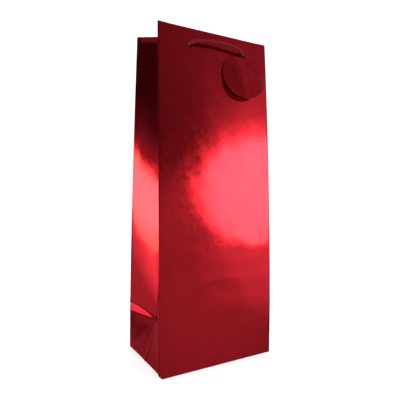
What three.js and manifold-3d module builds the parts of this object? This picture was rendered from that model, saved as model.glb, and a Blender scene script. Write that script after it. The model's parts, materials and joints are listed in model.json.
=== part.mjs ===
// A tall bottle gift bag of foil-laminated paper: two bent walls, a V-folded gusset on each side,
// a folded base under a loose board, a turned-in hem with stiffening cards behind the cord holes,
// two rope handles knotted inside the bag, and a round tag hung on the front handle.
//
// Millimetres, +Z up, front wall towards -Y. The origin is the middle of the base, on the ground.
// The sheet is one folded piece on the real bag. It is split here along its creases, and layers
// that lie on each other keep a small gap.

import * as THREE from "three";
import { mergeVertices } from "three/addons/utils/BufferGeometryUtils.js";
import Module from "manifold-3d";

const wasm = await Module();
wasm.setup();

// Driving dimensions
const HEIGHT = 340;
const WIDTH = 130;
const DEPTH = 88;
const PAPER = 0.35;
const CARD = 0.6;
const BOARD = 1;
const GAP = 0.3;
const LEAN = 17.7; // how far the top edge of each wall stands in from the base
const BEND_START = 30; // height where the walls start to lean
const BEND_POWER = 1.6;
const GUSSET_DENT = 12; // how far the gusset's middle crease stands in at the top of its foot
const GUSSET_PULL = 0.886; // share of the spare paper that the crease takes up above the foot
const HEM = 35;
const HEM_INSET = 12; // from the bag's corners to the ends of the walls' hems
const GUSSET_HEM_INSET = 8;
const CORNER_INSET = 1.1; // leaves the corner to the wall's edge
const FOLD_INSET = 0.5; // half the space kept along a crease between two pieces
const HOLE_DROP = 17.6;
const HOLE_SPACING = 66.4;
const HOLE_DIAMETER = 6;
const CORD_DIAMETER = 3.5;
const CORD_SIDES = 10;
const KNOT_DIAMETER = 9;
const KNOT_HEIGHT = 10;
const TAG_DIAMETER = 51.5;
const TAG_THICKNESS = 0.4;
const TAG_HOLE_DIAMETER = 6.6;
const TAG_HOLE_TO_CENTRE = 22.1;
const TAG_STAND_OFF = 0.8; // behind the tag, at its hole
const TAG_LIFT = THREE.MathUtils.degToRad(7.5); // between the tag and the wall
const SEAM_WIDTH = 15;
const SEAM_INSET = 3.5;
const FLAP_LAP = 12; // each long flap of the base reaches this far past the middle
const FLAP_STEP = 4; // length of the step where one flap climbs over the other
const SIDE_FLAP_REACH = 44;
const FLAP_INSET = 1.5;
const BOARD_INSET = 2.5;

// Heights of the base's layers, each resting a gap above the one below
const WALL_FOOT = PAPER + GAP;
const SIDE_FLAP_Z = 2 * (PAPER + GAP);
const BOARD_Z = SIDE_FLAP_Z + PAPER + GAP;
const GUSSET_FOOT_TOP = Math.sqrt((DEPTH / 2) ** 2 - GUSSET_DENT ** 2);

// Distances of the layers inward from the outer face of the paper they lie behind
const PANEL_LAYER = [0, PAPER];
const CARD_LAYER = [PAPER + GAP, PAPER + GAP + CARD];
const HEM_LAYER = [CARD_LAYER[1] + GAP, CARD_LAYER[1] + GAP + PAPER];
const SECOND_LAYER = [PAPER + GAP, 2 * PAPER + GAP];

const HOLE_Z = HEIGHT - HOLE_DROP;

// Route of a handle's outer loop, as [x, distance in front of the hole, height over the hole]. The
// handle turns about the line through its two ends.
const LOOP_ROUTE = [
  [-32.9, 2.2, 0.4],
  [-31.6, 2.5, 0.9],
  [-29.8, 3, 1.9],
  [-27.4, 3.7, 3],
  [-24, 4.5, 4.2],
  [-19.2, 5.1, 4.8],
  [-14.4, 5.5, 5.3],
  [-9.6, 5.9, 5.8],
  [-4.8, 6.1, 6.1],
  [0, 6.3, 6.2],
  [5, 6.5, 6],
  [10, 6.7, 5.7],
  [15.1, 6.7, 5.3],
  [20.6, 6.4, 4.7],
  [25.4, 5.2, 3.6],
  [29.4, 3.4, 2],
  [31.4, 2.7, 1],
  [32.9, 2.2, 0.4],
];

// Route of the cord's leg inside the bag, as [distance out from the middle of the bag along x,
// distance behind the hole, drop below the hole]
const LEG_ROUTE = [
  [33.1, 0.35, -0.4],
  [33.2, 2.6, -0.2],
  [33.2, 4.6, 0.4],
  [33.2, 6.4, 1.5],
  [33.3, 7.7, 3.3],
  [33.4, 8.4, 5.8],
  [33.6, 8.6, 9],
  [33.8, 8.6, 14],
  [34.1, 8.5, 22],
  [34.4, 8.4, 32],
  [34.5, 8.3, 44],
  [34.4, 8.4, 56],
  [34.2, 8.6, 68],
  [34, 8.7, 80],
  [33.9, 8.7, 90],
];

const foil = { color: "#8c1420", roughness: 0.25, metalness: 0.9 };
const whitePaper = { color: "#efece6", roughness: 0.8, metalness: 0 };
const greyCard = { color: "#b9b4aa", roughness: 0.9, metalness: 0 };
const rope = { color: "#5a1020", roughness: 0.6, metalness: 0 };

const lerp = THREE.MathUtils.lerp;

function halfDepth(z) {
  const share = Math.max(0, (z - BEND_START) / (HEIGHT - BEND_START));
  return DEPTH / 2 - LEAN * share ** BEND_POWER;
}

// How far the middle crease of a gusset stands in from the side of the bag
function creaseDepth(z) {
  const spare = (DEPTH / 2) ** 2 - halfDepth(z) ** 2;
  return Math.sqrt(GUSSET_DENT ** 2 + GUSSET_PULL * spare);
}

function namedMesh(name, geometry, finish) {
  const mesh = new THREE.Mesh(geometry, new THREE.MeshStandardMaterial(finish));
  mesh.name = name;
  return mesh;
}

// The point on a surface, and its normal across the directions in which u and v grow
function surfaceFrame(surface, u, v) {
  const step = 1e-3;
  const point = surface(u, v);
  const alongU = surface(u + step, v).sub(surface(u - step, v));
  const alongV = surface(u, v + step).sub(surface(u, v - step));
  return { point, normal: alongU.cross(alongV).normalize() };
}

// A closed sheet that follows a surface, between two distances along its normal
function sheet(surface, columns, rows, [near, far]) {
  const positions = [];
  for (const distance of [near, far]) {
    for (let row = 0; row <= rows; row += 1) {
      for (let column = 0; column <= columns; column += 1) {
        const { point, normal } = surfaceFrame(surface, column / columns, row / rows);
        positions.push(...point.addScaledVector(normal, distance));
      }
    }
  }
  const at = (side, column, row) => (side * (rows + 1) + row) * (columns + 1) + column;
  const index = [];
  const quad = (a, b, c, d) => index.push(a, b, c, a, c, d);
  for (let row = 0; row < rows; row += 1) {
    for (let column = 0; column < columns; column += 1) {
      quad(at(0, column, row), at(0, column, row + 1), at(0, column + 1, row + 1), at(0, column + 1, row));
      quad(at(1, column, row), at(1, column + 1, row), at(1, column + 1, row + 1), at(1, column, row + 1));
    }
    quad(at(0, 0, row + 1), at(0, 0, row), at(1, 0, row), at(1, 0, row + 1));
    quad(at(0, columns, row), at(0, columns, row + 1), at(1, columns, row + 1), at(1, columns, row));
  }
  for (let column = 0; column < columns; column += 1) {
    quad(at(0, column, 0), at(0, column + 1, 0), at(1, column + 1, 0), at(1, column, 0));
    quad(at(0, column + 1, rows), at(0, column, rows), at(1, column, rows), at(1, column + 1, rows));
  }
  const geometry = new THREE.BufferGeometry();
  geometry.setAttribute("position", new THREE.Float32BufferAttribute(positions, 3));
  geometry.setIndex(index);
  geometry.computeVertexNormals();
  return geometry;
}

function toSolid(geometry) {
  const bare = geometry.clone();
  bare.deleteAttribute("normal");
  bare.deleteAttribute("uv");
  const merged = mergeVertices(bare);
  const vertProperties = new Float32Array(merged.attributes.position.array);
  const triVerts = new Uint32Array(merged.index.array);
  return new wasm.Manifold(new wasm.Mesh({ numProp: 3, vertProperties, triVerts }));
}

function toGeometry(solid) {
  const { vertProperties, triVerts } = solid.getMesh();
  const geometry = new THREE.BufferGeometry();
  geometry.setAttribute("position", new THREE.BufferAttribute(vertProperties, 3));
  geometry.setIndex(new THREE.BufferAttribute(triVerts, 1));
  geometry.computeVertexNormals();
  return geometry;
}

// Cuts the two cord holes of the front wall through a layer
function withCordHoles(geometry) {
  const drillLength = 8;
  const drillSides = 24;
  let solid = toSolid(geometry);
  for (const side of [-1, 1]) {
    const drill = new THREE.CylinderGeometry(HOLE_DIAMETER / 2, HOLE_DIAMETER / 2, drillLength, drillSides);
    drill.translate((side * HOLE_SPACING) / 2, -halfDepth(HOLE_Z), HOLE_Z);
    solid = solid.subtract(toSolid(drill));
  }
  return toGeometry(solid);
}

// A surface that lies in the front wall, from one height to another
function wallSurface(fromX, toX, fromZ, toZ) {
  return (u, v) => {
    const z = lerp(fromZ, toZ, v);
    return new THREE.Vector3(lerp(toX, fromX, u), -halfDepth(z), z);
  };
}

function wallPanel() {
  const surface = wallSurface(-WIDTH / 2, WIDTH / 2, WALL_FOOT, HEIGHT);
  return withCordHoles(sheet(surface, 1, 16, PANEL_LAYER));
}

function wallTopStrip(layer) {
  const halfWidth = WIDTH / 2 - HEM_INSET;
  const surface = wallSurface(-halfWidth, halfWidth, HEIGHT - HEM, HEIGHT);
  return withCordHoles(sheet(surface, 1, 2, layer));
}

// The glued lap of the bag's one side seam, inside the wall next to its left corner
function seamFlap() {
  const start = -WIDTH / 2 + SEAM_INSET;
  const bottom = BOARD_Z + BOARD + GAP;
  const surface = wallSurface(start, start + SEAM_WIDTH, bottom, HEIGHT - HEM - GAP);
  return sheet(surface, 1, 14, SECOND_LAYER);
}

// A surface of one half of a gusset, from the bag's corner to the gusset's middle crease.
// The left gusset has sideX -1, and its front half has sideY -1.
function gussetSurface(sideX, sideY, cornerInset, bottomAt) {
  const facesIn = sideX * sideY > 0;
  return (u, v) => {
    const across = facesIn ? u : 1 - u;
    const z = lerp(bottomAt(across), HEIGHT, v);
    const half = halfDepth(z);
    const share = lerp(cornerInset / half, 1 - FOLD_INSET / half, across);
    const x = WIDTH / 2 - creaseDepth(z) * share;
    return new THREE.Vector3(sideX * x, sideY * half * (1 - share), z);
  };
}

function gussetHalf(sideX, sideY) {
  const diagonal = (across) => WALL_FOOT + FOLD_INSET + (GUSSET_FOOT_TOP - WALL_FOOT) * across;
  return sheet(gussetSurface(sideX, sideY, CORNER_INSET, diagonal), 4, 14, PANEL_LAYER);
}

function gussetHem(sideX, sideY) {
  const hemBottom = () => HEIGHT - HEM;
  return sheet(gussetSurface(sideX, sideY, GUSSET_HEM_INSET, hemBottom), 2, 2, SECOND_LAYER);
}

// The triangle below a gusset's folds, which leans in from the bag's bottom edge
function gussetFoot(sideX) {
  const tipHalf = 0.8;
  const top = GUSSET_FOOT_TOP - 2 * FOLD_INSET - tipHalf;
  const surface = (u, v) => {
    const z = lerp(WALL_FOOT, top, v);
    const halfSpan = lerp(DEPTH / 2 - 2 * CORNER_INSET, tipHalf, v);
    const x = WIDTH / 2 - (GUSSET_DENT * z) / GUSSET_FOOT_TOP;
    return new THREE.Vector3(sideX * x, sideX * lerp(halfSpan, -halfSpan, u), z);
  };
  return sheet(surface, 2, 6, PANEL_LAYER);
}

// A flat piece of the base: an outline in x and y, raised to a height
function baseLayer(outline, z, thickness) {
  const shape = new THREE.Shape(outline.map(([x, y]) => new THREE.Vector2(x, y)));
  const geometry = new THREE.ExtrudeGeometry(shape, { depth: thickness, bevelEnabled: false });
  return geometry.translate(0, 0, z);
}

function backBottomFlap() {
  const halfWidth = WIDTH / 2;
  const outline = [
    [-halfWidth, -FLAP_LAP],
    [halfWidth, -FLAP_LAP],
    [halfWidth, DEPTH / 2],
    [-halfWidth, DEPTH / 2],
  ];
  return baseLayer(outline, 0, PAPER);
}

// The front flap lies on the ground, then climbs over the back flap and laps it inside the feet
function frontBottomFlap() {
  const width = WIDTH - 2 * FLAP_INSET;
  const stepEnd = -FLAP_LAP - GAP;
  const profile = [
    [-DEPTH / 2, 0],
    [stepEnd - FLAP_STEP, 0],
    [stepEnd, PAPER + GAP],
    [FLAP_LAP, PAPER + GAP],
  ];
  const thick = [...profile, ...profile.map(([y, z]) => [y, z + PAPER]).reverse()];
  const shape = new THREE.Shape(thick.map(([y, z]) => new THREE.Vector2(y, z)));
  const geometry = new THREE.ExtrudeGeometry(shape, { depth: width, bevelEnabled: false });
  geometry.translate(0, 0, -width / 2);
  return geometry.rotateX(Math.PI / 2).rotateZ(Math.PI / 2);
}

function sideBottomFlap(sideX) {
  const outer = sideX * (WIDTH / 2 - FLAP_INSET);
  const inner = sideX * (WIDTH / 2 - SIDE_FLAP_REACH);
  const outerHalf = DEPTH / 2 - FLAP_INSET;
  const innerHalf = outerHalf - SIDE_FLAP_REACH / 2;
  const outline = [
    [outer, -outerHalf],
    [outer, outerHalf],
    [inner, innerHalf],
    [inner, -innerHalf],
  ];
  return baseLayer(sideX < 0 ? outline.reverse() : outline, SIDE_FLAP_Z, PAPER);
}

function bottomBoard() {
  const geometry = new THREE.BoxGeometry(WIDTH - 2 * BOARD_INSET, DEPTH - 2 * BOARD_INSET, BOARD);
  return geometry.translate(0, 0, BOARD_Z + BOARD / 2);
}

function cordTube(points, steps) {
  const section = new THREE.Shape();
  const radius = CORD_DIAMETER / 2;
  for (let side = 0; side < CORD_SIDES; side += 1) {
    const angle = (2 * Math.PI * side) / CORD_SIDES;
    const corner = [radius * Math.cos(angle), radius * Math.sin(angle)];
    if (side === 0) section.moveTo(...corner);
    else section.lineTo(...corner);
  }
  const extrudePath = new THREE.CatmullRomCurve3(points);
  return new THREE.ExtrudeGeometry(section, { steps, extrudePath });
}

function handleLoop() {
  const holeY = -halfDepth(HOLE_Z);
  const points = LOOP_ROUTE.map(([x, out, up]) => new THREE.Vector3(x, holeY - out, HOLE_Z + up));
  return cordTube(points, 24);
}

function handleLeg(sideX) {
  const holeY = -halfDepth(HOLE_Z);
  const points = LEG_ROUTE.map(([x, back, drop]) => new THREE.Vector3(sideX * x, holeY + back, HOLE_Z - drop));
  return cordTube(points, 20);
}

function handleKnot(sideX) {
  const [x, back, drop] = LEG_ROUTE[LEG_ROUTE.length - 1];
  const geometry = new THREE.SphereGeometry(KNOT_DIAMETER / 2, 16, 12);
  geometry.rotateX(Math.PI / 2);
  geometry.scale(1, 1, KNOT_HEIGHT / KNOT_DIAMETER);
  const centreZ = HOLE_Z - drop - GAP - KNOT_HEIGHT / 2;
  return geometry.translate(sideX * x, -halfDepth(HOLE_Z) + back, centreZ);
}

// A disc with its hole on the bag's right front cord hole, lifted off the leaning wall
function giftTag() {
  const shape = new THREE.Shape();
  shape.absarc(0, -TAG_HOLE_TO_CENTRE, TAG_DIAMETER / 2, 0, 2 * Math.PI);
  const hole = new THREE.Path();
  hole.absarc(0, 0, TAG_HOLE_DIAMETER / 2, 0, 2 * Math.PI);
  shape.holes.push(hole);
  const geometry = new THREE.ExtrudeGeometry(shape, {
    depth: TAG_THICKNESS,
    bevelEnabled: false,
    curveSegments: 32,
  });
  const rise = 1;
  const wallLean = Math.atan((halfDepth(HOLE_Z - rise) - halfDepth(HOLE_Z + rise)) / (2 * rise));
  geometry.rotateX(Math.PI / 2 - wallLean - TAG_LIFT);
  return geometry.translate(HOLE_SPACING / 2, -halfDepth(HOLE_Z) - TAG_STAND_OFF, HOLE_Z);
}

// One wall with what is fixed to it, built as the front wall. Turned half round, it is the back.
function wallGroup(side, nearLeft, nearRight) {
  const group = new THREE.Group();
  group.add(
    namedMesh(`${side}_panel`, wallPanel(), foil),
    namedMesh(`${side}_reinforcement_card`, wallTopStrip(CARD_LAYER), greyCard),
    namedMesh(`${side}_top_hem`, wallTopStrip(HEM_LAYER), foil),
    namedMesh(`${side}_handle_loop`, handleLoop(), rope),
  );
  for (const [sideX, label] of [[-1, nearLeft], [1, nearRight]]) {
    group.add(namedMesh(`${side}_${label}_handle_leg`, handleLeg(sideX), rope));
    group.add(namedMesh(`${side}_${label}_knot`, handleKnot(sideX), rope));
  }
  return group;
}

function gussetGroup(label, sideX) {
  const group = new THREE.Group();
  group.add(namedMesh(`${label}_gusset_foot`, gussetFoot(sideX), foil));
  for (const [sideY, half] of [[-1, "front"], [1, "back"]]) {
    group.add(namedMesh(`${label}_gusset_${half}_half`, gussetHalf(sideX, sideY), foil));
    group.add(namedMesh(`${label}_gusset_${half}_hem`, gussetHem(sideX, sideY), foil));
  }
  return group;
}

function baseGroup() {
  const group = new THREE.Group();
  group.add(
    namedMesh("back_bottom_flap", backBottomFlap(), foil),
    namedMesh("front_bottom_flap", frontBottomFlap(), foil),
    namedMesh("left_bottom_flap", sideBottomFlap(-1), whitePaper),
    namedMesh("right_bottom_flap", sideBottomFlap(1), whitePaper),
    namedMesh("bottom_board", bottomBoard(), greyCard),
  );
  return group;
}

const giftBag = new THREE.Group();
const backWall = wallGroup("back", "right", "left");
backWall.add(namedMesh("side_seam_flap", seamFlap(), whitePaper));
backWall.rotation.z = Math.PI;
giftBag.add(
  baseGroup(),
  gussetGroup("left", -1),
  gussetGroup("right", 1),
  wallGroup("front", "left", "right"),
  backWall,
  namedMesh("gift_tag", giftTag(), foil),
);

export default giftBag;
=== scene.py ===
"""A tall foil gift bag, drawn in place over its CAD frame.

Metres, +Z up, front wall towards -Y, the origin at the middle of the base on the ground. The bag's
walls and gussets are drawn as thin sheets of paper with their top edge folded in, each from the same
few dimensions as the CAD. A sheet's foil side is the side its normals point to.
"""

import json
import math

import bpy
import numpy as np
from mathutils import Matrix, Vector


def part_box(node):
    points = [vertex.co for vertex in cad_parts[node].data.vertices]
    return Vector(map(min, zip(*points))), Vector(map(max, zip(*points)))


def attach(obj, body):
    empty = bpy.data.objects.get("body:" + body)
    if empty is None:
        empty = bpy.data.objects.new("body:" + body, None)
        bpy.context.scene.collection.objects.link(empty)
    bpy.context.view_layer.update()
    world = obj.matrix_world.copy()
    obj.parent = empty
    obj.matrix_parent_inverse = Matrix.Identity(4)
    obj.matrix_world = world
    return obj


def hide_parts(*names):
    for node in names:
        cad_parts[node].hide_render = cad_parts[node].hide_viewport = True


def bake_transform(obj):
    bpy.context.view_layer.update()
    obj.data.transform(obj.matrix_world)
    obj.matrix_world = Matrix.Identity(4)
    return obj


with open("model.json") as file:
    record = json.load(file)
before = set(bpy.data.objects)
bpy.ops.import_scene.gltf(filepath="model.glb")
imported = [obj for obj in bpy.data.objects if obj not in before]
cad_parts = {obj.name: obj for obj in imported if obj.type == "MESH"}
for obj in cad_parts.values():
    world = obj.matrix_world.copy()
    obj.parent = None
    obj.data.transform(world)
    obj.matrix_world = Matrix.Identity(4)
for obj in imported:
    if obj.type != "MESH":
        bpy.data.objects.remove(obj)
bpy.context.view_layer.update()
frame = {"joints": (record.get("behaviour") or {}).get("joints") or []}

MM = 0.001

# The bag's size, from the frame
panel_low, panel_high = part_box("front_panel")
HEIGHT = panel_high.z
HALF_WIDTH = panel_high.x
HALF_DEPTH = -panel_low.y
board_low, board_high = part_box("bottom_board")
JOINTS = {joint["name"]: joint for joint in frame["joints"]}
HOLE = Vector(JOINTS["tag_swing"]["pos_m"])

# Its shape, as in the CAD
LEAN = 17.7 * MM
BEND_START = 30 * MM
BEND_POWER = 1.6
GUSSET_DENT = 12 * MM
GUSSET_PULL = 0.886
GUSSET_FOOT_TOP = math.sqrt(HALF_DEPTH**2 - GUSSET_DENT**2)
PAPER = 0.3 * MM
CARD_LAYER = (0.65 * MM, 0.6 * MM)  # how far in from the wall's outer face, and its thickness
SEAM_LAYER = (0.65 * MM, 0.3 * MM)
HEM = 35 * MM
FLAP_LAP = 12 * MM
HOLE_RADIUS = 3 * MM
CORD_DIAMETER = 3.5 * MM
TAG_RADIUS = 25.75 * MM
TAG_HOLE_RADIUS = 3.3 * MM
TAG_DROP = 22.1 * MM  # from the middle of the tag's hole to the middle of the tag

# What the looks add to it
FOLD_RADIUS = 0.3 * MM
GROUND_GAP = 0.05 * MM
BASE_INSET = 0.35 * MM
FOOT_BUCKLE = 0.6 * MM
CORNER_SPREAD = 4.3 * MM
CORNER_BLUNT = 4.5 * MM
INNER_HOLE_RADIUS = 1.62 * MM  # in the hem and the card, close round the cord
HOLE_BLOCK = HOLE_RADIUS + 3 * MM  # half the side of the finer square of grid round a hole
CORD_RISE = 0.4 * MM  # the cord lies this much above the middle of its hole
YARNS = 6
YARN_DEPTH = 0.42 * MM
TWIST_LENGTH = 9.9 * MM

# Seeds of the paper's unevenness
WALL_SEEDS = {"front": 11, "back": 12}
STREAK_SEED_STEP = 100
FOOT_SEED = 30
GUSSET_SEED = 40
TAG_SEED = 61

# Route of a handle's outer loop in millimetres: (x, distance in front of the wall, height over the hole)
LOOP_ROUTE = [
    (-32.9, 2.2, 0.4),
    (-31.6, 2.5, 0.9),
    (-29.8, 3, 1.9),
    (-27.4, 3.7, 3),
    (-24, 4.5, 4.2),
    (-19.2, 5.1, 4.8),
    (-14.4, 5.5, 5.3),
    (-9.6, 5.9, 5.8),
    (-4.8, 6.1, 6.1),
    (0, 6.3, 6.2),
    (5, 6.5, 6),
    (10, 6.7, 5.7),
    (15.1, 6.7, 5.3),
    (20.6, 6.4, 4.7),
    (25.4, 5.2, 3.6),
    (29.4, 3.4, 2),
    (31.4, 2.7, 1),
    (32.9, 2.2, 0.4),
]

# Route of a cord's leg in millimetres, from the handle's hinge line through the hole and down inside the
# bag: (distance out from the middle of the bag, distance behind the wall's face, drop below the hole)
LEG_ROUTE = [
    (32.9, -2.2, -0.4),
    (33, -0.9, -0.4),
    (33.1, 0.35, -0.4),
    (33.2, 2.6, -0.2),
    (33.2, 4.6, 0.4),
    (33.2, 6.4, 1.5),
    (33.3, 7.7, 3.3),
    (33.4, 8.4, 5.8),
    (33.6, 8.6, 9),
    (33.8, 8.6, 14),
    (34.1, 8.5, 22),
    (34.4, 8.4, 32),
    (34.5, 8.3, 44),
    (34.4, 8.4, 56),
    (34.2, 8.6, 68),
    (34, 8.7, 80),
    (33.9, 8.7, 90),
]


def make_camera():
    """Looks at the bag from its front and left, a little above its middle."""
    yaw, pitch, roll = (math.radians(angle) for angle in (-30.335, 2.439, 0.691))
    target = Vector((-0.62 * MM, 0, 167.3 * MM))
    distance = 438.08 * MM
    back = Vector((math.sin(yaw) * math.cos(pitch), -math.cos(yaw) * math.cos(pitch), math.sin(pitch)))
    right = (-back).cross(Vector((0, 0, 1))).normalized()
    up = right.cross(-back)
    rolled_right = right * math.cos(roll) + up * math.sin(roll)
    rolled_up = up * math.cos(roll) - right * math.sin(roll)
    data = bpy.data.cameras.new("camera")
    data.sensor_width = 36
    data.lens = 35.67
    data.clip_start = 0.01
    data.clip_end = 50
    camera = bpy.data.objects.new("camera", data)
    bpy.context.scene.collection.objects.link(camera)
    place = Matrix((rolled_right, rolled_up, back)).transposed().to_4x4()
    place.translation = target + back * distance
    camera.matrix_world = place
    bpy.context.scene.camera = camera


# ---------------------------------------------------------------- the bag's shape

SPREAD_POWER = 2.2
WAVES = 26
WAVE_LENGTHS = (11, 70)  # shortest and longest, in millimetres
WALL_STEEPNESS = 0.0011
STREAK_STEEPNESS = 0.0042
STREAK_STRETCH = 0.3  # the streaks run across the wall
SLACK_RISE = (50 * MM, 85 * MM)  # heights between which the streaks fade in
SLACK_TOP = 160 * MM  # height where the streaks have faded out
SLACK_FADE = 50 * MM
STIFF_EDGE = 9 * MM  # next to a corner or the foot the wall stays straight
TURN_UP_CREASE = (0.15 * MM, 5 * MM)  # height and reach
BASE_CREASE = (0.09 * MM, 1.6 * MM)
BASE_CREASE_FADE = 6 * MM
DIMPLE_X, DIMPLE_Z = 7 * MM, 279 * MM
DIMPLE_WIDTH, DIMPLE_LENGTH = 7 * MM, 16 * MM
DIMPLE_DEPTH = 0.16 * MM
DIAGONAL = 0.7


def smooth_step(low, high, value):
    """Rises smoothly from 0 at low to 1 at high."""
    share = np.clip((value - low) / (high - low), 0, 1)
    return share * share * (3 - 2 * share)


def half_depth(z):
    """Distance from the bag's middle to the outer face of the front wall."""
    share = np.clip((z - BEND_START) / (HEIGHT - BEND_START), 0, None)
    return HALF_DEPTH - LEAN * share**BEND_POWER


def crease_depth(z):
    """How far the middle crease of a gusset stands in from the side of the bag."""
    spare = HALF_DEPTH**2 - half_depth(z) ** 2
    return np.sqrt(GUSSET_DENT**2 + GUSSET_PULL * spare)


def corner_spread(z):
    """The bag's front left corner stands out sideways, except right at its foot and its top."""
    height_share = np.clip(z / HEIGHT, 0, 1)
    return CORNER_SPREAD * smooth_step(-0.5 * MM, CORNER_BLUNT, z) * (1 - height_share**SPREAD_POWER)


def wall_lean(z):
    """The angle a wall leans in by at a height, in radians."""
    step = 0.1 * MM
    return np.arctan((half_depth(z - step) - half_depth(z + step)) / (2 * step))


def ripple(a, b, seed, steepness):
    """Smooth random unevenness of a sheet, over two distances along it."""
    random = np.random.default_rng(seed)
    total = np.zeros_like(a)
    for _ in range(WAVES):
        length = random.uniform(*WAVE_LENGTHS) * MM
        heading = random.uniform(0, 2 * math.pi)
        start = random.uniform(0, 2 * math.pi)
        along = (a * math.cos(heading) + b * math.sin(heading)) * 2 * math.pi / length
        total += steepness * length / (2 * math.pi) * np.sin(along + start)
    return total


def ridge(distance, height, reach):
    """A crease that stands out by a height and dies away on both sides."""
    return height * np.exp(-np.abs(distance) / reach)


def wall_ripple(x, z, seed):
    """How far a wall stands out from its plain shape."""
    near_corner = smooth_step(0, STIFF_EDGE, HALF_WIDTH - np.abs(x))
    near_foot = smooth_step(0, STIFF_EDGE, z)
    uneven = ripple(x, z, seed, WALL_STEEPNESS)
    slack = smooth_step(*SLACK_RISE, z) * smooth_step(0, SLACK_FADE, SLACK_TOP - z)
    streaks = ripple(x * STREAK_STRETCH, z, seed + STREAK_SEED_STEP, STREAK_STEEPNESS) * slack
    turn_up_crease = ridge(z - 2 * HALF_DEPTH, *TURN_UP_CREASE)
    from_corner = (HALF_WIDTH - np.abs(x) - z) / math.sqrt(2)
    base_crease = ridge(from_corner, *BASE_CREASE) * smooth_step(0, BASE_CREASE_FADE, HALF_DEPTH - z)
    dimple_up = ((x - DIMPLE_X) * DIAGONAL + (z - DIMPLE_Z) * DIAGONAL) / DIMPLE_WIDTH
    dimple_along = ((x - DIMPLE_X) * DIAGONAL - (z - DIMPLE_Z) * DIAGONAL) / DIMPLE_LENGTH
    dimple = DIMPLE_DEPTH * np.exp(-(dimple_up**2) - dimple_along**2)
    return (uneven + streaks + turn_up_crease + base_crease - dimple) * near_corner * near_foot


def wall_point(x, z, inward, side, seed):
    """Points of a wall, some way inward from its outer face. The front wall's side is -1."""
    lean = wall_lean(z)
    depth = inward - wall_ripple(x, z, seed)
    y = depth * np.cos(lean) - half_depth(z)
    return np.stack([-side * x, -side * y, z - depth * np.sin(lean)], axis=-1)


# ---------------------------------------------------------------- meshes

HOLE_RING = 2.2 * MM  # the grid round a hole is redrawn in rings out to this far from its edge
SHARP_ANGLE = math.radians(38)


def spaced(*runs):
    """Grid lines: runs of (start, end, number of steps) that join end to end."""
    lines = [runs[0][0]]
    for start, end, steps in runs:
        lines += [start + (end - start) * step / steps for step in range(1, steps + 1)]
    return lines


def block_of(lines, low, high):
    """First and last of the grid lines that enclose a hole."""
    first = max(i for i, line in enumerate(lines) if line < low)
    last = min(i for i, line in enumerate(lines) if line > high)
    return first, last


def ring_faces(outer, inner):
    """The faces between two rings of as many points."""
    count = len(outer)
    return [(outer[i], outer[(i + 1) % count], inner[(i + 1) % count], inner[i]) for i in range(count)]


def grid_with_holes(across, along, holes):
    """The points and faces of a grid in two coordinates, with round holes (centre u, v, radius)."""
    columns = len(across)
    points = [(u, v) for v in along for u in across]
    blocks = []
    for u, v, radius in holes:
        reach = radius + HOLE_RING
        blocks.append((*block_of(across, u - reach, u + reach), *block_of(along, v - reach, v + reach)))
    faces = []
    for row in range(len(along) - 1):
        for column in range(columns - 1):
            if not any(a <= column < b and c <= row < d for a, b, c, d in blocks):
                corner = row * columns + column
                faces.append((corner, corner + 1, corner + columns + 1, corner + columns))
    for (u, v, radius), (left, right, bottom, top) in zip(holes, blocks):
        ring = [bottom * columns + column for column in range(left, right)]
        ring += [row * columns + right for row in range(bottom, top)]
        ring += [top * columns + column for column in range(right, left, -1)]
        ring += [row * columns + left for row in range(top, bottom, -1)]
        border = [points[index] for index in ring]
        for share in (0.4, 0.75, 0.93, 1):
            inner = []
            for pu, pv in border:
                angle = math.atan2(pv - v, pu - u)
                rim = (u + radius * math.cos(angle), v + radius * math.sin(angle))
                inner.append(len(points))
                points.append((pu + (rim[0] - pu) * share, pv + (rim[1] - pv) * share))
            faces += ring_faces(ring, inner)
            ring = inner
    return np.array(points), faces


def mesh_object(name, positions, faces, materials, uvs=None):
    """A smooth-shaded mesh. uvs, if given, has one pair of coordinates for each corner of each face."""
    used = sorted({index for face in faces for index in face})
    fresh = {old: new for new, old in enumerate(used)}
    mesh = bpy.data.meshes.new(name)
    mesh.from_pydata([tuple(positions[i]) for i in used], [], [[fresh[i] for i in f] for f in faces])
    if uvs is not None:
        layer = mesh.uv_layers.new(name="along")
        layer.data.foreach_set("uv", np.array(uvs).ravel())
    for material in materials:
        mesh.materials.append(material)
    mesh.shade_smooth()
    thing = bpy.data.objects.new(name, mesh)
    bpy.context.scene.collection.objects.link(thing)
    return thing


def thicken(thing, thickness):
    """Gives a sheet its thickness, behind its normals: material 0 in front, 1 behind, 2 on the edge."""
    solid = thing.modifiers.new("thickness", "SOLIDIFY")
    solid.thickness = thickness
    solid.offset = -1
    solid.material_offset = 1
    solid.material_offset_rim = 2
    graph = bpy.context.evaluated_depsgraph_get()
    final = bpy.data.meshes.new_from_object(thing.evaluated_get(graph))
    thing.modifiers.clear()
    thing.data = final
    final.set_sharp_from_angle(angle=SHARP_ANGLE)
    return thing


def sheet_piece(name, place, across, along, thickness, materials, holes=()):
    """A sheet over a grid: place gives the position of each of its points."""
    points, faces = grid_with_holes(across, along, holes)
    positions = place(points[:, 0], points[:, 1])
    return thicken(mesh_object(name, positions, faces, materials), thickness)


# ---------------------------------------------------------------- materials


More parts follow.
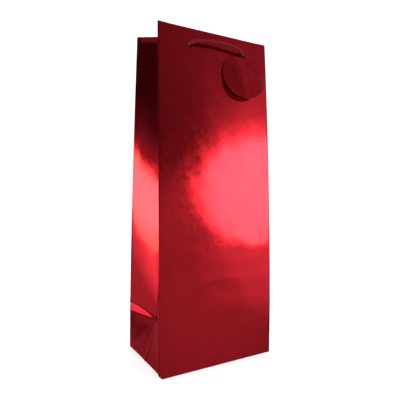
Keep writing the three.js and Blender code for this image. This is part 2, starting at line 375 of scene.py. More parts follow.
class Shader:
    """A node material in the making, around one Principled shader."""

    def __init__(self, name):
        self.material = bpy.data.materials.new(name)
        self.material.use_nodes = True
        self.tree = self.material.node_tree
        self.surface = self.tree.nodes["Principled BSDF"]

    def node(self, kind, **settings):
        made = self.tree.nodes.new(kind)
        for key, value in settings.items():
            setattr(made, key, value)
        return made

    def link(self, output, target):
        self.tree.links.new(output, target)

    def set(self, **values):
        for key, value in values.items():
            self.surface.inputs[key.replace("_", " ")].default_value = value

    def coordinates(self, output="Object", stretch=(1, 1, 1)):
        source = self.node("ShaderNodeTexCoord")
        mapping = self.node("ShaderNodeMapping")
        mapping.inputs["Scale"].default_value = stretch
        self.link(source.outputs[output], mapping.inputs["Vector"])
        return mapping.outputs["Vector"]

    def noise(self, vector, scale, detail=2):
        noise = self.node("ShaderNodeTexNoise")
        noise.inputs["Scale"].default_value = scale
        noise.inputs["Detail"].default_value = detail
        self.link(vector, noise.inputs["Vector"])
        return noise.outputs["Fac"]

    def ramp(self, factor, dark, light, low=0.3, high=0.7):
        ramp = self.node("ShaderNodeValToRGB")
        ramp.color_ramp.elements[0].position = low
        ramp.color_ramp.elements[0].color = (*dark, 1)
        ramp.color_ramp.elements[1].position = high
        ramp.color_ramp.elements[1].color = (*light, 1)
        self.link(factor, ramp.inputs["Fac"])
        return ramp.outputs["Color"]

    def bump(self, height, distance, strength=1.0, after=None):
        bump = self.node("ShaderNodeBump")
        bump.inputs["Strength"].default_value = strength
        bump.inputs["Distance"].default_value = distance
        self.link(height, bump.inputs["Height"])
        if after is not None:
            self.link(after, bump.inputs["Normal"])
        self.link(bump.outputs["Normal"], self.surface.inputs["Normal"])
        return bump.outputs["Normal"]


def grey(value):
    """A colour with no hue."""
    return (value, value, value)


def foil_material():
    """Red metallised paper: a mirror with the grain of the paper under it."""
    shader = Shader("red_foil")
    shader.set(Metallic=1.0, Specular_Tint=(1, 0.55, 0.6, 1), Coat_Weight=0.1, Coat_Roughness=0.06)
    place = shader.coordinates()
    tint = shader.ramp(shader.noise(place, 60), (0.71, 0.0185, 0.032), (0.77, 0.0215, 0.037))
    shader.link(tint, shader.surface.inputs["Base Color"])
    sheen = shader.ramp(shader.noise(place, 180), grey(0.1), grey(0.145))
    shader.link(sheen, shader.surface.inputs["Roughness"])
    grain = shader.bump(shader.noise(place, 420, 3), 0.034 * MM, 0.5)
    shader.bump(shader.noise(place, 1500, 2), 0.004 * MM, 0.5, after=grain)
    return shader.material


def paper_material(name, dark, light, grain_scale, grain_depth):
    """Bare paper or board: matt, with fine fibres."""
    shader = Shader(name)
    shader.set(Roughness=0.85)
    place = shader.coordinates(stretch=(1, 1, 0.35))
    fibres = shader.noise(place, grain_scale, 6)
    shader.link(shader.ramp(fibres, dark, light), shader.surface.inputs["Base Color"])
    shader.bump(fibres, grain_depth)
    return shader.material


def rope_material():
    """Maroon yarn, its colour darkened in the grooves between the yarns as painted shade. The first
    coordinate runs round the rope with its twist, the second along it in metres.
    """
    shader = Shader("maroon_rope")
    shader.set(Roughness=0.7, Specular_IOR_Level=0.1)
    turns = shader.coordinates("UV", (24, 900, 1))
    yarn = shader.noise(turns, 1, 3)
    tint = shader.ramp(yarn, (0.120, 0.005, 0.012), (0.270, 0.011, 0.028))
    # Painted shade: the yarn colour is multiplied down to near black along the grooves between the yarns.
    across = shader.node("ShaderNodeSeparateXYZ")
    shader.link(shader.coordinates("UV", (math.pi * YARNS, 1, 1)), across.inputs["Vector"])
    wave = shader.node("ShaderNodeMath", operation="COSINE")
    shader.link(across.outputs["X"], wave.inputs[0])
    height = shader.node("ShaderNodeMath", operation="ABSOLUTE")
    shader.link(wave.outputs["Value"], height.inputs[0])
    groove_painted_shade = shader.ramp(height.outputs["Value"], grey(0.04), grey(1.0), 0.15, 0.85)
    colour = shader.node("ShaderNodeMix", data_type="RGBA", blend_type="MULTIPLY")
    colour.inputs["Factor"].default_value = 1
    shader.link(tint, colour.inputs["A"])
    shader.link(groove_painted_shade, colour.inputs["B"])
    shader.link(colour.outputs["Result"], shader.surface.inputs["Base Color"])
    shader.bump(yarn, 0.1 * MM, 0.8)
    return shader.material


def floor_material():
    """Matt and nearly white, so that only a soft shadow shows on it."""
    shader = Shader("pale_floor")
    shader.set(Roughness=0.9)
    place = shader.coordinates()
    tint = shader.ramp(shader.noise(place, 3), grey(0.88), grey(0.92))
    shader.link(tint, shader.surface.inputs["Base Color"])
    shader.link(tint, shader.surface.inputs["Emission Color"])
    shader.set(Emission_Strength=0.35)
    return shader.material


# ---------------------------------------------------------------- walls

TOP_RADIUS = 0.95 * MM  # of the fold over the card
CORNER_TOP_RADIUS = 0.4 * MM  # of the same fold beside the card
TOP_START = HEIGHT - TOP_RADIUS
TOP_LENGTH = math.pi * TOP_RADIUS
TOP_EASE = 6 * MM
FLAT_HALF = HALF_WIDTH - FOLD_RADIUS
HEM_END = HALF_WIDTH - 2.7 * MM
CARD_HALF = HALF_WIDTH - 12 * MM
CARD_TOP = HEIGHT - 1.3 * MM
WIDE_FOLD_HALF = CARD_HALF - 1 * MM
QUARTER_FOLD = FOLD_RADIUS * math.pi / 2
SPREAD_START = 25 * MM


def wall_columns(end=FLAT_HALF, steps=6):
    """Grid lines across a wall, with a finer run at each hole."""
    middle = HOLE.x - HOLE_BLOCK
    outside = HOLE.x + HOLE_BLOCK
    return spaced(
        (-end, -outside, 2 * steps),
        (-outside, -middle, steps),
        (-middle, middle, 4 * steps),
        (middle, outside, steps),
        (outside, end, 2 * steps),
    )


def folded_wall_place(side, seed):
    """A wall from its foot, over the fold at its top, and down the hem inside it."""

    def place(u, v):
        turn = np.clip((v - TOP_START) / TOP_LENGTH, 0, 1)
        hem_drop = np.clip(v - TOP_START - TOP_LENGTH, 0, None)
        beside_card = smooth_step(WIDE_FOLD_HALF, WIDE_FOLD_HALF + TOP_EASE, np.abs(u))
        radius = TOP_RADIUS + (CORNER_TOP_RADIUS - TOP_RADIUS) * beside_card
        rise = (TOP_RADIUS - radius) * smooth_step(TOP_START - TOP_EASE, TOP_START, v)
        z = np.minimum(v, TOP_START) - hem_drop + rise
        past = np.clip(np.abs(u) - FLAT_HALF, 0, QUARTER_FOLD) / FOLD_RADIUS
        outer_x = np.minimum(np.abs(u), FLAT_HALF) + FOLD_RADIUS * np.sin(past)
        squeeze = (HEM_END - WIDE_FOLD_HALF) / (FLAT_HALF + QUARTER_FOLD - WIDE_FOLD_HALF)
        beyond = np.clip(np.abs(u) - WIDE_FOLD_HALF, 0, None)
        inner_x = np.abs(u) + beyond * (squeeze - 1)
        x = np.sign(u) * (outer_x + (inner_x - outer_x) * turn)
        curl = FOLD_RADIUS * (1 - np.cos(past)) * (1 - turn)
        inward = radius * (1 - np.cos(turn * math.pi)) + curl
        if side < 0:
            x -= corner_spread(z) * smooth_step(SPREAD_START, HALF_WIDTH, -u) * (1 - turn)
        points = wall_point(x, z, inward, side, seed)
        points[:, 2] += radius * np.sin(turn * math.pi)
        return points

    return place


def folded_wall(label, side, seed, materials):
    """A wall and its hem, in one sheet that also goes round a quarter of each corner's fold."""
    edge = [FLAT_HALF + QUARTER_FOLD * step / 4 for step in range(1, 5)]
    across = [-u for u in reversed(edge)] + wall_columns() + edge
    hem_start = TOP_START + TOP_LENGTH
    hem_hole = hem_start + TOP_START - HOLE.z
    along = spaced(
        (GROUND_GAP, HOLE.z - HOLE_BLOCK, 150),
        (HOLE.z - HOLE_BLOCK, HOLE.z + HOLE_BLOCK, 6),
        (HOLE.z + HOLE_BLOCK, TOP_START, 6),
        (TOP_START, hem_start, 8),
        (hem_start, hem_hole - HOLE_BLOCK, 6),
        (hem_hole - HOLE_BLOCK, hem_hole + HOLE_BLOCK, 6),
        (hem_hole + HOLE_BLOCK, hem_start + HEM, 6),
    )
    holes = [(x, HOLE.z, HOLE_RADIUS) for x in (-HOLE.x, HOLE.x)]
    holes += [(x, hem_hole - CORD_RISE, INNER_HOLE_RADIUS) for x in (-HOLE.x, HOLE.x)]
    name = f"{label}_wall_sheet"
    wall = sheet_piece(name, folded_wall_place(side, seed), across, along, PAPER, materials, holes)
    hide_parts(f"{label}_panel", f"{label}_top_hem")
    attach(wall, f"{label}_wall")


def wall_card(label, side, seed, material):
    """The stiffening card between a wall and its hem. It gets a near-black material, painted shade for what
    shows through the cord holes.
    """
    inward, thickness = CARD_LAYER

    def place(u, v):
        return wall_point(u, v, inward, side, seed)

    low, high = HOLE.z - HOLE_BLOCK, HOLE.z + HOLE_BLOCK
    along = spaced((HEIGHT - HEM, low, 4), (low, high, 6), (high, CARD_TOP, 4))
    holes = [(x, HOLE.z + CORD_RISE, INNER_HOLE_RADIUS) for x in (-HOLE.x, HOLE.x)]
    name = f"{label}_card"
    card = sheet_piece(name, place, wall_columns(CARD_HALF), along, thickness, [material] * 3, holes)
    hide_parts(f"{label}_reinforcement_card")
    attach(card, f"{label}_wall")


def seam_lap(seed, material):
    """The glued lap of the side seam, inside the back wall."""
    low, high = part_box("side_seam_flap")
    inward, thickness = SEAM_LAYER

    def place(u, v):
        return wall_point(u, v, inward, 1, seed)

    across = spaced((-high.x, -low.x, 6))
    along = spaced((low.z, high.z, 60))
    lap = sheet_piece("side_seam_lap", place, across, along, thickness, [material] * 3)
    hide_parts("side_seam_flap")
    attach(lap, "back_wall")


# ---------------------------------------------------------------- gussets

GUSSET_TOP_RADIUS = 0.4 * MM
GUSSET_TOP_START = HEIGHT - GUSSET_TOP_RADIUS
GUSSET_STEEPNESS = 0.003
HEM_SLIDE = 2.6  # the hem starts this many fold depths in from the corner, to clear the wall's hem
BULGE_SLOPE = 0.22  # of the paper just above the crease at the foot's top
BULGE_RISE = 10 * MM  # at the corner
BULGE_RISE_AT_CREASE = 0.4 * MM
FRONT_BULGE = 0.4  # the front halves swell this much of what the back halves do
BULGE_FADE = 32 * MM
FOLD_SHARE = 0.02  # part of the grid across a gusset half that goes round the bag's corner
RIM_SLOPE = 0.12  # of the paper at the mouth, leaning in
RIM_HEIGHT = 7 * MM
RIM_EASE = 1.2 * MM
RIM_SWELL = 1 * MM
RIM_SWELL_REACH = 2.6 * MM
RIM_SWELL_END = 16 * MM
RIM_SWELL_DROP = 32 * MM  # from the mouth down to where the swell starts
RIM_SWELL_FADE = 20 * MM
FOOT_TENT = 1.5 * MM  # how far the foot sinks in between its edges
FOOT_CREASE = (0.55 * MM, 2 * MM)  # height and reach


def gusset_section(z, spread):
    """The centre of the corner's fold, the middle crease, and the angle where the fold ends, at a height."""
    corner_x = HALF_WIDTH - FOLD_RADIUS + spread
    corner_y = half_depth(z) - FOLD_RADIUS
    crease_x = HALF_WIDTH - crease_depth(z)
    heading = np.arctan2(-corner_y, crease_x - corner_x)
    distance = np.hypot(corner_y, crease_x - corner_x)
    turn = heading + np.arccos(FOLD_RADIUS / distance)
    return corner_x, corner_y, crease_x, turn


def foot_bulge(share, z):
    """The paper swells out above the crease at the foot's top, most at the bag's corner."""
    rise = BULGE_RISE * (1 - share**2) + BULGE_RISE_AT_CREASE
    over_crease = np.clip(z - GUSSET_FOOT_TOP, 0, None)
    height = BULGE_SLOPE * np.minimum(over_crease, rise)
    beyond = np.clip(over_crease - rise, 0, None)
    return height * np.exp(-beyond / BULGE_FADE) * smooth_step(0, 0.05, share)


def rim_curl(share, along, z):
    """The paper leans in at the mouth, and swells out beside the corner's fold just under it."""
    over = np.clip(z - (HEIGHT - RIM_HEIGHT), 0, None)
    lean = RIM_SLOPE * (over - RIM_EASE * (1 - np.exp(-over / RIM_EASE))) * smooth_step(0, 0.1, share)
    near_rim = smooth_step(0, RIM_SWELL_FADE, z - (HEIGHT - RIM_SWELL_DROP))
    swell = RIM_SWELL * (1 - np.exp(-along / RIM_SWELL_REACH)) * np.exp(-along / RIM_SWELL_END)
    return (lean - swell * near_rim) * smooth_step(0, 0.12, 1 - share)


def gusset_place(side_x, side_y, seed):
    """Half a gusset, with v from 0 to 1 up its face, to 2 over its top fold and to 3 down its hem."""
    bulge_share = 1 if side_y > 0 else FRONT_BULGE

    def place(u, v):
        share = np.clip((u - FOLD_SHARE) / (1 - FOLD_SHARE), 0, 1)
        foot = GUSSET_FOOT_TOP * share
        roll = np.clip(v - 1, 0, 1)
        z = foot + (GUSSET_TOP_START - foot) * np.clip(v, 0, 1) - HEM * np.clip(v - 2, 0, 1)
        spread = corner_spread(z) * (1 - roll) if side_x < 0 and side_y < 0 else 0 * z
        corner_x, corner_y, crease_x, turn = gusset_section(z, spread)
        angle = turn * np.clip(u / FOLD_SHARE, 0, 1)
        start_x = corner_x + FOLD_RADIUS * np.cos(angle)
        start_y = corner_y + FOLD_RADIUS * np.sin(angle)
        length = np.hypot(crease_x - start_x, start_y)
        out_x, out_y = start_y / length, -(start_x - crease_x) / length
        inward = GUSSET_TOP_RADIUS * (1 - np.cos(roll * math.pi))
        slide = inward * ((1 - share) * HEM_SLIDE - share * (start_x - crease_x) / start_y)
        away = smooth_step(0, 0.2, share) * smooth_step(0, 0.12, 1 - share)
        above_foot = smooth_step(0, 0.06, np.clip(v, 0, 1))
        uneven = ripple(share * length, z, seed, GUSSET_STEEPNESS) * away * above_foot
        curl = rim_curl(share, share * length, z)
        depth = inward - uneven - bulge_share * foot_bulge(share, z) + curl
        x = start_x + (crease_x - start_x) * share - out_x * depth + out_y * slide
        y = start_y * (1 - share) - out_y * depth - out_x * slide
        top = GUSSET_TOP_RADIUS * np.sin(roll * math.pi)
        return np.stack([side_x * x, side_y * y, z + top], axis=-1)

    return place


def gusset_half(label, side_x, half, side_y, seed, materials):
    """Half a gusset with its hem, from the corner's fold to the middle crease."""
    across = spaced((0, FOLD_SHARE, 4), (FOLD_SHARE, 0.22, 8), (0.22, 1, 18))
    along = spaced((0, 0.2, 84), (0.2, 0.96, 94), (0.96, 1, 12), (1, 2, 6), (2, 3, 16))
    if side_x * side_y > 0:
        across = across[::-1]
    name = f"{label}_gusset_{half}_sheet"
    sheet = sheet_piece(name, gusset_place(side_x, side_y, seed), across, along, PAPER, materials)
    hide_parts(f"{label}_gusset_{half}_half", f"{label}_gusset_{half}_hem")
    bend_with_wall(sheet, side_y)


def bend_with_wall(sheet, side_y):
    """Bakes the sheet's place into its points. Ends along the bag's corner are worked out here but not used.
    """
    chord = Vector((0, HEIGHT, half_depth(HEIGHT) - HALF_DEPTH)).normalized()
    outward = Vector((0, chord.y, -chord.z))
    reach = half_depth(HEIGHT)
    end_inset = 1 * MM
    foot = Vector((0, HALF_DEPTH, 0))
    end = foot - outward * end_inset
    start = foot - outward * reach
    end.y *= side_y
    start.y *= side_y
    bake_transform(sheet)


def gusset_foot(label, side_x, seed, materials):
    """The triangle below a gusset's folds. The paper buckles up a little along its bottom edge."""

    def place(u, v):
        foot = GROUND_GAP + FOOT_BUCKLE * (1 - u * u)
        z = foot + (GUSSET_FOOT_TOP - foot) * v
        y = u * HALF_DEPTH * (1 - z / GUSSET_FOOT_TOP)
        inside = smooth_step(0, 0.2, 1 - np.abs(u)) * smooth_step(0, 0.15, 1 - v)
        uneven = ripple(y, z, seed, GUSSET_STEEPNESS) * inside
        tent = FOOT_TENT * (1 - np.abs(u)) * (1 - v) * v * 4
        crease = ridge(y, *FOOT_CREASE) * smooth_step(0, 0.2, 1 - v)
        x = HALF_WIDTH - GUSSET_DENT * z / GUSSET_FOOT_TOP + uneven - tent + crease
        return np.stack([side_x * x, side_x * y, z], axis=-1)

    across = spaced((-1, -0.12, 14), (-0.12, 0.12, 16), (0.12, 1, 14))
    foot = sheet_piece(f"{label}_foot_sheet", place, across, spaced((0, 0.995, 22)), PAPER, materials)
    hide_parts(f"{label}_gusset_foot")
    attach(foot, "base")


# ---------------------------------------------------------------- base

LIFT_START = 58 * MM  # from the middle of the base
LIFT_POWER = 2.2
LAP_STEP = 0.6 * MM  # the front flap climbs this much over the back flap's edge
LAP_RAMP = 4 * MM
SIDE_FLAP_HEIGHT = 1.25 * MM
SIDE_FLAP_WAVE = 0.1 * MM
SIDE_FLAP_WAVES = 90  # radians for each metre
SIDE_FLAP_END = 60 * MM
SIDE_FLAP_HALF = 21 * MM
FRONT_FLAP_INSET = 1 * MM
BOARD_EDGE = 0.3 * MM


def base_lift(x, y):
    """The base's paper rises at its two short edges, where the gussets' feet buckle up."""
    share = np.clip((np.abs(x) - LIFT_START) / (HALF_WIDTH - LIFT_START), 0, 1)
    return FOOT_BUCKLE * share**LIFT_POWER * (1 - (y / HALF_DEPTH) ** 2)


def base_flap(name, node, height, across, along, materials):
    """A folded flap of the base: height gives its underside's height over x and y."""

    def place(u, v):
        return np.stack([u, v, height(u, v)], axis=-1)

    flap = sheet_piece(name, place, across, along[::-1], PAPER, materials)
    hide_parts(node)
    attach(flap, "base")


def back_flap_height(x, y):
    return GROUND_GAP + base_lift(x, y)


def front_flap_height(x, y):
    return GROUND_GAP + base_lift(x, y) + LAP_STEP * smooth_step(-FLAP_LAP - LAP_RAMP, -FLAP_LAP, y)


def side_flap_height(x, _y):
    return SIDE_FLAP_HEIGHT + SIDE_FLAP_WAVE * np.sin(x * SIDE_FLAP_WAVES)


def make_base(foil, paper, card):
    """The two long flaps outside, the two short ones on them, and the loose board on top."""
    edge = HALF_DEPTH - BASE_INSET
    side = HALF_WIDTH - BASE_INSET
    materials = [foil, paper, paper]
    across = spaced((-side, side, 60))
    along = spaced((-FLAP_LAP, edge, 24))
    node, slot = "back_bottom_flap", "red_foil_paper"
    base_flap("back_base_flap", node, back_flap_height, across, along, materials)
    across = spaced((FRONT_FLAP_INSET - side, side - FRONT_FLAP_INSET, 60))
    along = spaced((-edge, FLAP_LAP, 40))
    node = "front_bottom_flap"
    base_flap("front_base_flap", node, front_flap_height, across, along, materials)
    along = spaced((-SIDE_FLAP_HALF, SIDE_FLAP_HALF, 14))
    for label in ("left", "right"):
        node = f"{label}_bottom_flap"
        low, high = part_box(node)
        across = spaced((max(low.x, -SIDE_FLAP_END), min(high.x, SIDE_FLAP_END), 14))
        base_flap(f"{label}_base_flap", node, side_flap_height, across, along, materials)
    make_board(card)


def make_board(card):
    """The loose board on the base, a thin slab with soft edges and corners."""
    size = board_high - board_low
    centre = (board_high + board_low) / 2
    bpy.ops.mesh.primitive_cube_add(size=1, location=centre)
    board = bpy.context.object
    board.name = "loose_board"
    board.scale = size
    bpy.ops.object.transform_apply(location=False, scale=True)
    bevel = board.modifiers.new("soft_edges", "BEVEL")
    bevel.width = BOARD_EDGE
    bevel.segments = 3
    board.data.materials.append(card)
    board.data.shade_smooth()
    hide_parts("bottom_board")
    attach(board, "base")


# ---------------------------------------------------------------- cords

HOLE_FACE_Y = float(half_depth(HOLE.z))  # of the wall's outer face at the holes, from the bag's middle
LOOP_STEP = 0.35 * MM
LEG_STEP = 0.45 * MM
KNOT_STEP = 0.4 * MM
KNOT_ROPE_RADIUS = 1.65 * MM
CUT_END = 1 * MM  # the cord's cut end is this far beside its knot's middle, and over its lowest point


def smooth_line(points, step):
    """A Catmull-Rom curve through the points, resampled at an even step."""
    points = np.array(points, float)
    padded = np.vstack([2 * points[0] - points[1], points, 2 * points[-1] - points[-2]])
    fine = []
    for i in range(1, len(padded) - 2):
        before, start, end, after = padded[i - 1 : i + 3]
        for t in np.linspace(0, 1, 12, endpoint=False):
            fine.append(
                0.5 * (2 * start + (end - before) * t + (2 * before - 5 * start + 4 * end - after) * t**2
                       + (3 * start - before - 3 * end + after) * t**3)
            )
    fine.append(points[-1])
    fine = np.array(fine)
    lengths = np.concatenate([[0], np.cumsum(np.linalg.norm(np.diff(fine, axis=0), axis=1))])
    count = max(2, round(lengths[-1] / step))
    targets = np.linspace(0, lengths[-1], count + 1)
    return np.stack([np.interp(targets, lengths, fine[:, axis]) for axis in range(3)], axis=-1)


def line_length(line):
    """The length of a line of points."""
    return float(np.linalg.norm(np.diff(line, axis=0), axis=1).sum())


def cross_frames(line):
    """Two directions across a line at each of its points, carried along it without twisting."""
    tangents = np.gradient(line, axis=0)
    tangents /= np.linalg.norm(tangents, axis=1)[:, None]
    first = np.cross(tangents[0], (0.3, 0.9, 0.2))
    sides = []
    for tangent in tangents:
        first = first - tangent * (first @ tangent)
        first = first / np.linalg.norm(first)
        sides.append(first)
    sides = np.array(sides)
    return sides, np.cross(tangents, sides), tangents


def rope_mesh(name, line, radius, material, around=48):
    """A twisted rope along an even line, with rounded ends."""
    sides, ups, tangents = cross_frames(line)
    travelled = np.linspace(0, line_length(line), len(line))
    angles = np.arange(around) * 2 * math.pi / around
    rings = []
    for index in range(len(line)):
        rings.append((line[index], sides[index], ups[index], travelled[index], 1.0))
    caps = [math.radians(angle) for angle in (25, 50, 72, 85)]
    for cap in caps:
        size, reach = math.cos(cap), radius * math.sin(cap)
        rings.insert(0, (line[0] - tangents[0] * reach, sides[0], ups[0], travelled[0] - reach, size))
        rings.append((line[-1] + tangents[-1] * reach, sides[-1], ups[-1], travelled[-1] + reach, size))
    positions, faces, uvs = [], [], []
    for centre, side, up, along, size in rings:
        twist = 2 * math.pi * along / TWIST_LENGTH
        groove = np.abs(np.cos((angles - twist) * YARNS / 2))
        reach = size * (radius - YARN_DEPTH * (1 - groove))
        across = np.outer(np.cos(angles) * reach, side) + np.outer(np.sin(angles) * reach, up)
        positions += list(centre + across)
    count = len(rings)
    for ring in range(count - 1):
        here = [ring * around + i for i in range(around)]
        faces += ring_faces(here, [index + around for index in here])
        near, far = rings[ring][3], rings[ring + 1][3]
        for i in range(around):
            for step, along in ((i, near), (i + 1, near), (i + 1, far), (i, far)):
                uvs.append((step / around - along / TWIST_LENGTH, along))
    faces.append(tuple(reversed(range(around))))
    faces.append(tuple(range((count - 1) * around, count * around)))
    uvs += [(0, 0)] * (2 * around)
    return mesh_object(name, positions, faces, [material], uvs)


def handle_loop(label, side, material):
    """The part of a handle outside the bag, from hole to hole."""
    points = []
    for x, out, up in LOOP_ROUTE:
        points.append((-side * x * MM, side * (HOLE_FACE_Y + out * MM), HOLE.z + up * MM))
    line = smooth_line(points, LOOP_STEP)
    loop = rope_mesh(f"{label}_loop", line, CORD_DIAMETER / 2, material)
    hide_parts(f"{label}_handle_loop")
    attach(loop, f"{label}_handle")


def handle_leg(label, side, end_label, x_sign, material):
    """One end of a handle's cord, inside the bag, with its knot."""
    points = []
    for x, back, drop in LEG_ROUTE:
        points.append((-side * x_sign * x * MM, side * (HOLE_FACE_Y - back * MM), HOLE.z - drop * MM))
    line = smooth_line(points, LEG_STEP)
    leg = rope_mesh(f"{label}_{end_label}_leg", line, CORD_DIAMETER / 2, material)
    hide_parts(f"{label}_{end_label}_handle_leg")
    knot = handle_knot(label, end_label, line[-1], material)
    for piece in (leg, knot):
        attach(piece, f"{label}_wall")


def handle_knot(label, end_label, leg_end, material):
    """An overhand knot pulled tight, with the cord's cut end below it."""
    node = f"{label}_{end_label}_knot"
    low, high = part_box(node)
    middle = (low + high) / 2
    turns = np.linspace(0, 2 * math.pi, 97)[:-1]
    reach = ((high.x - low.x) / 2 - KNOT_ROPE_RADIUS) / 3
    rise = (high.z - low.z) / 2 - KNOT_ROPE_RADIUS
    line = np.stack(
        [
            middle.x + reach * (np.sin(turns) + 2 * np.sin(2 * turns)),
            middle.y + reach * (np.cos(turns) - 2 * np.cos(2 * turns)),
            middle.z - rise * np.sin(3 * turns),
        ],
        axis=-1,
    )
    start = np.array(leg_end)
    tail = np.array((middle.x + CUT_END, middle.y, low.z + CUT_END))
    whole = smooth_line([start, *line[4:92:4], tail], KNOT_STEP)
    knot = rope_mesh(f"{node}_rope", whole, KNOT_ROPE_RADIUS, material, around=32)
    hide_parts(node)
    return knot


# ---------------------------------------------------------------- tag

TAG_SIDE = 0.5 * MM  # the tag hangs this much to the left of its hole
TAG_TILT = math.radians(12.9)
TAG_BOW = 2.1 * MM
TAG_FACE = 0.3 * MM
TAG_THICKNESS = 0.4 * MM
TAG_STEEPNESS = 0.007


def gift_tag(materials):
    """A foil disc with a punched hole, hung on the cord and bowed a little."""

    def place(u, v):
        centre = -TAG_DROP * v
        radius = TAG_HOLE_RADIUS + (TAG_RADIUS - TAG_HOLE_RADIUS) * v
        a = radius * np.cos(u)
        b = centre + radius * np.sin(u)
        bow = TAG_BOW * (a / TAG_RADIUS) ** 2 * smooth_step(0, 20 * MM, -b)
        streaks = ripple(2.2 * a + 0.3 * b, 0.25 * b, TAG_SEED, TAG_STEEPNESS)
        streaks *= smooth_step(4 * MM, 14 * MM, -b)
        out = TAG_FACE - bow + streaks
        y = HOLE.y - out * math.cos(TAG_TILT) + b * math.sin(TAG_TILT)
        z = HOLE.z + out * math.sin(TAG_TILT) + b * math.cos(TAG_TILT)
        return np.stack([HOLE.x - TAG_SIDE * v + a, y, z], axis=-1)

    sides, rings = 128, 26
    points = [(2 * math.pi * i / sides, j / rings) for j in range(rings + 1) for i in range(sides)]
    faces = []
    for ring in range(rings):
        here = [ring * sides + i for i in range(sides)]
        faces += ring_faces([index + sides for index in here], here)
    points = np.array(points)
    tag = mesh_object("round_tag", place(points[:, 0], points[:, 1]), faces, materials)
    thicken(tag, TAG_THICKNESS)
    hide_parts("gift_tag")
    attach(tag, "tag")


# ---------------------------------------------------------------- studio

LIGHT_DISTANCE = 1.1
ROOM_BRIGHTNESS = 0.025
WHITE_BRIGHTNESS = 1.25
FLOOR_SIZE = 16
FLOOR_DROP = 0.1 * MM


def direction(azimuth, elevation):
    """A unit vector: azimuth 0 is straight in front of the bag and grows to its right."""
    a, e = math.radians(azimuth), math.radians(elevation)
    return Vector((math.sin(a) * math.cos(e), -math.cos(a) * math.cos(e), math.sin(e)))


def disc_light(name, azimuth, elevation, half_angle, brightness, tint):
    """A round soft light that faces the bag, seen from it at that half angle and brightness."""
    radius = LIGHT_DISTANCE * math.tan(math.radians(half_angle))
    data = bpy.data.lights.new(name, "AREA")
    data.shape = "DISK"
    data.size = 2 * radius
    data.energy = brightness * math.pi * math.pi * radius**2
    data.color = tint
    light = bpy.data.objects.new(name, data)
    aim = Vector((0, 0, HEIGHT / 2))
    light.location = aim + direction(azimuth, elevation) * LIGHT_DISTANCE
    light.rotation_euler = direction(azimuth, elevation).to_track_quat("Z", "Y").to_euler()
    light.visible_camera = False
    bpy.context.scene.collection.objects.link(light)


# Soft glows of the studio that only the foil mirrors: azimuth, elevation, full and outer angle, brightness
GLOWS = [
    (30, 24, 10, 50, 0.055),
    (28, -12, 12, 24, 0.27),
    (52, 30, 6, 34, 0.11),
    (42, 22, 3, 12, 0.07),
    (40.5, 14, 4, 9, 0.34),
    (42, -5, 4, 13, 0.48),
    (33, -17, 4, 11, 0.045),
    (39.6, 7, 3, 10, 1.3),
    (-97, 0, 4, 10, 3.2),
    (-88, 3, 2, 14, 0.17),
    (-86, 2, 4, 22, 0.05),
    (-108, -1, 5, 13, 0.72),
    (-117, -8, 6, 16, 0.38),
    (-134, -31, 5, 11, 1.1),
    (-150, -10, 12, 40, 0.1),
    (-158, -11, 3, 10, 0.05),
    (-5, -2, 8, 20, 0.7),
    (-45, -18, 8, 20, 0.7),
    (85, 0, 20, 42, 0.3),
    (137, -8, 9, 18, 2.4),
    (180, -5, 20, 55, 0.15),
    (0, 90, 20, 55, 0.2),
    (150, 35, 15, 55, 0.5),
    (60, 44, 2, 18, 0.14),
    (-50, 34, 9, 16, 0.13),
]


def studio_world():
    """White to the camera and to matt surfaces, and a dark room with soft glows in the foil."""
    world = bpy.data.worlds.new("studio")
    world.use_nodes = True
    bpy.context.scene.world = world
    tree = world.node_tree
    background = tree.nodes["Background"]
    background.inputs["Color"].default_value = (1, 1, 1, 1)
    source = tree.nodes.new("ShaderNodeTexCoord").outputs["Generated"]
    total = ROOM_BRIGHTNESS
    for azimuth, elevation, full, outer, brightness in GLOWS:
        aim = tree.nodes.new("ShaderNodeVectorMath")
        aim.operation = "DOT_PRODUCT"
        aim.inputs[1].default_value = direction(azimuth, elevation)
        tree.links.new(source, aim.inputs[0])
        glow = tree.nodes.new("ShaderNodeMapRange")
        glow.interpolation_type = "SMOOTHSTEP"
        glow.inputs["From Min"].default_value = math.cos(math.radians(outer))
        glow.inputs["From Max"].default_value = math.cos(math.radians(full))
        glow.inputs["To Min"].default_value = 0
        glow.inputs["To Max"].default_value = brightness
        tree.links.new(aim.outputs["Value"], glow.inputs["Value"])
        total = add(tree, total, glow.outputs["Result"])
    rays = tree.nodes.new("ShaderNodeLightPath")
    choice = tree.nodes.new("ShaderNodeMix")
    choice.data_type = "FLOAT"
    tree.links.new(rays.outputs["Is Glossy Ray"], choice.inputs["Factor"])
    choice.inputs["A"].default_value = WHITE_BRIGHTNESS
    tree.links.new(total, choice.inputs["B"])
    tree.links.new(choice.outputs["Result"], background.inputs["Strength"])


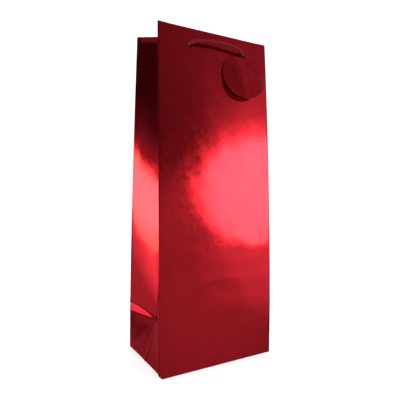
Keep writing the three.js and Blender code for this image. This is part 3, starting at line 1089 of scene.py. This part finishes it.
def add(tree, first, second):
    """The sum of two node outputs. The first can be a number instead."""
    node = tree.nodes.new("ShaderNodeMath")
    node.operation = "ADD"
    if isinstance(first, float):
        node.inputs[0].default_value = first
    else:
        tree.links.new(first, node.inputs[0])
    tree.links.new(second, node.inputs[1])
    return node.outputs["Value"]


def make_floor():
    """A wide pale floor just under the bag. The foil doesn't mirror it."""
    bpy.ops.mesh.primitive_plane_add(size=FLOOR_SIZE, location=(0, 0, -FLOOR_DROP))
    floor = bpy.context.object
    floor.name = "floor"
    floor.data.materials.append(floor_material())
    floor.visible_glossy = False


def make_studio():
    """The world, two lights and the floor."""
    studio_world()
    disc_light("key_light", 39.4, 4.5, 11.0, 4.2, (1, 1, 0.84))
    disc_light("left_light", -98.2, -2.4, 11.0, 4.4, (1, 1, 0.5))
    make_floor()
    bpy.context.scene.view_settings.view_transform = "Standard"


# ---------------------------------------------------------------- the bag

make_camera()

rope = rope_material()
for label, side, near_left, near_right in (("front", -1, "left", "right"), ("back", 1, "right", "left")):
    handle_loop(label, side, rope)
    handle_leg(label, side, near_left, -1, rope)
    handle_leg(label, side, near_right, 1, rope)

foil = foil_material()
paper = paper_material("white_paper", (0.70, 0.68, 0.64), (0.80, 0.78, 0.74), 500, 0.03 * MM)
# Cut edge of the foil paper: a reddish paper colour, darkened as painted shade for the rims that sit in the
# cord holes and round the tag.
paper_edge_with_painted_shade = paper_material("paper_edge_with_painted_shade", (0.16, 0.03, 0.03), (0.26, 0.07, 0.07), 900, 0.02 * MM)
# The wall cards are near black: painted shade seen through the cord holes.
card_in_painted_shade = paper_material("card_in_painted_shade", (0.012, 0.006, 0.006), (0.02, 0.01, 0.01), 420, 0.05 * MM)
card = paper_material("grey_card", (0.36, 0.34, 0.30), (0.48, 0.46, 0.41), 420, 0.05 * MM)
foil_sheet = [foil, paper, paper_edge_with_painted_shade]

for label, side in (("front", -1), ("back", 1)):
    folded_wall(label, side, WALL_SEEDS[label], foil_sheet)
    wall_card(label, side, WALL_SEEDS[label], card_in_painted_shade)
seam_lap(WALL_SEEDS["back"], paper)
for label, side_x in (("left", -1), ("right", 1)):
    gusset_foot(label, side_x, FOOT_SEED + side_x, foil_sheet)
    for half, side_y in (("front", -1), ("back", 1)):
        gusset_half(label, side_x, half, side_y, GUSSET_SEED + 2 * side_x + side_y, foil_sheet)
make_base(foil, paper, card)
gift_tag(foil_sheet)
make_studio()
